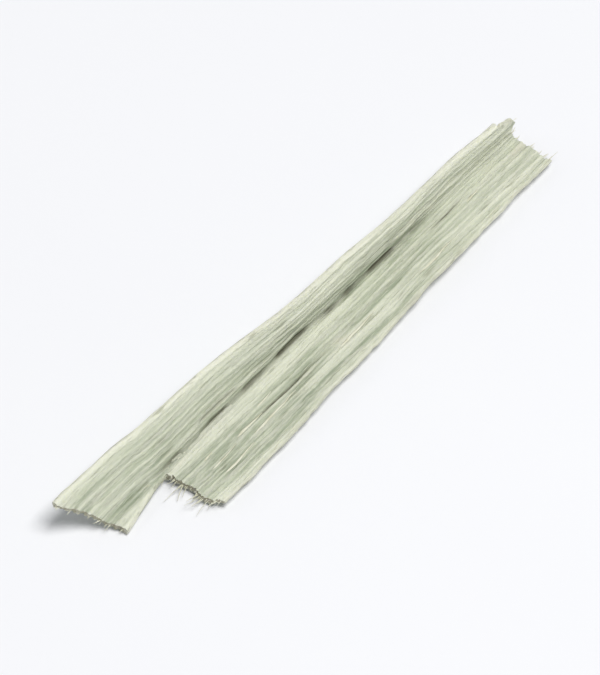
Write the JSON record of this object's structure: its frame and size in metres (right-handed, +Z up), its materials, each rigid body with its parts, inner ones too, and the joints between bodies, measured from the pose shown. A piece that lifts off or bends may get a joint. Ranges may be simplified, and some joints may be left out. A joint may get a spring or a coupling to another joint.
{
  "type": "cut dried lemongrass stalk piece",
  "caption": "Short cut length of dried lemongrass stalk: a thin ribbed leaf-sheath strip folded into a channel, cut at both ends, one end split into a slanted prong, lying on its back.",
  "frame": {"origin": "centre of the bounding box on the surface that the piece rests on", "axes": "+X along the fold, from the split wide end to the narrow end; +Z up; +Y to the side of the standing wing"},
  "size_m": [0.0198, 0.0034, 0.0017],
  "materials": {
    "dried_leaf_sheath": "matte"
  },
  "bodies": {
    "root": {"lemongrass_stalk_piece": "dried_leaf_sheath"}
  },
  "joints": []
}
